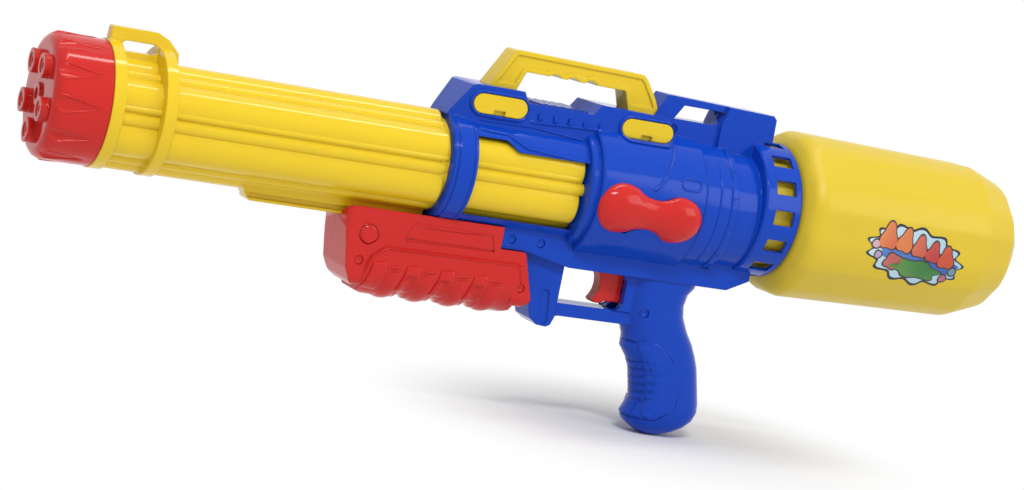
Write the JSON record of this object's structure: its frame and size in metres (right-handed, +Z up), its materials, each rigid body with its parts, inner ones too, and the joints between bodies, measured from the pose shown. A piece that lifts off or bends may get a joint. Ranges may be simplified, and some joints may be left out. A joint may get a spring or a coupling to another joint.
{
  "type": "toy water squirter",
  "caption": "Pump-action toy water squirter with a lobed barrel, fluted multi-nozzle cap, sliding pump grip, trigger, carry handle and a screw-on water bottle.",
  "frame": {"origin": "middle of the overall box at the height of the pistol grip's base", "axes": "+X from the muzzle towards the bottle along the barrel, +Z up, the left side faces -Y"},
  "size_m": [0.7144, 0.112, 0.24],
  "materials": {
    "red": "glossy injection-moulded red plastic",
    "yellow": "glossy injection-moulded yellow plastic",
    "blue": "glossy injection-moulded blue plastic",
    "bottle": "satin blow-moulded yellow plastic",
    "white": "natural white plastic",
    "grey": "grey plastic",
    "hose": "soft clear-grey hose",
    "rubber": "black rubber",
    "steel": "bright steel",
    "label": "printed film label with a water-drop motif and no lettering"
  },
  "bodies": {
    "frame": {"muzzle_cap": "red", "nozzle_manifold": "white", "barrel_left": "yellow", "barrel_right": "yellow", "inner_barrel": "yellow", "feed_tube": "white", "body_left": "blue", "body_right": "blue", "body_screws": "steel", "carry_handle": "yellow", "side_insert_left": "red", "side_insert_right": "red", "pump_cylinder": "white", "cylinder_gland": "grey", "cylinder_head": "grey", "pressure_hose": "hose", "trigger_pin": "steel", "valve_body": "grey", "valve_plug": "grey", "valve_spring": "steel", "feed_hose": "hose", "supply_hose": "hose", "bottle_socket": "red", "dip_tube": "white"},
    "pump": {"pump_grip_left": "red", "pump_grip_right": "red", "grip_screws": "steel", "pump_rod": "white", "piston": "grey", "piston_o_ring": "rubber"},
    "check_valve": {"valve_poppet": "rubber"},
    "trigger_lever": {"trigger": "red"},
    "stem": {"valve_stem": "white", "valve_seal": "rubber"},
    "gasket": {"neck_gasket": "rubber"},
    "water_bottle": {"bottle": "bottle", "bottle_label": "label"}
  },
  "joints": [
    {"name": "pump_slide", "type": "slide", "parent": "frame", "child": "pump", "axis": [-1, 0, 0], "range_m": [0, 0.056]},
    {"name": "check_valve_lift", "type": "slide", "parent": "frame", "child": "check_valve", "axis": [1, 0, 0], "range_m": [0, 0.002]},
    {"name": "trigger_pull", "type": "hinge", "parent": "frame", "child": "trigger_lever", "pos_m": [0.0482, 0, 0.113], "axis": [0, -1, 0], "range_deg": [0, 13], "stiffness_Nm_per_rad": 0.6, "springref_deg": -8.59, "deforming": ["valve_spring"]},
    {"name": "stem_push", "type": "slide", "parent": "frame", "child": "stem", "axis": [1, 0, 0], "range_m": [0, 0.0042]},
    {"name": "bottle_advance", "type": "slide", "parent": "frame", "child": "gasket", "axis": [1, 0, 0], "range_m": [0, 0.0081]},
    {"name": "bottle_turn", "type": "hinge", "parent": "gasket", "child": "water_bottle", "pos_m": [0.1582, 0, 0.163], "axis": [1, 0, 0], "range_deg": [0, 720]}
  ],
  "couplings": [
    {"joint": "stem_push", "follows": "trigger_pull", "m_per_rad": 0.0175},
    {"joint": "bottle_advance", "follows": "bottle_turn", "m_per_rad": 0.00063662}
  ]
}
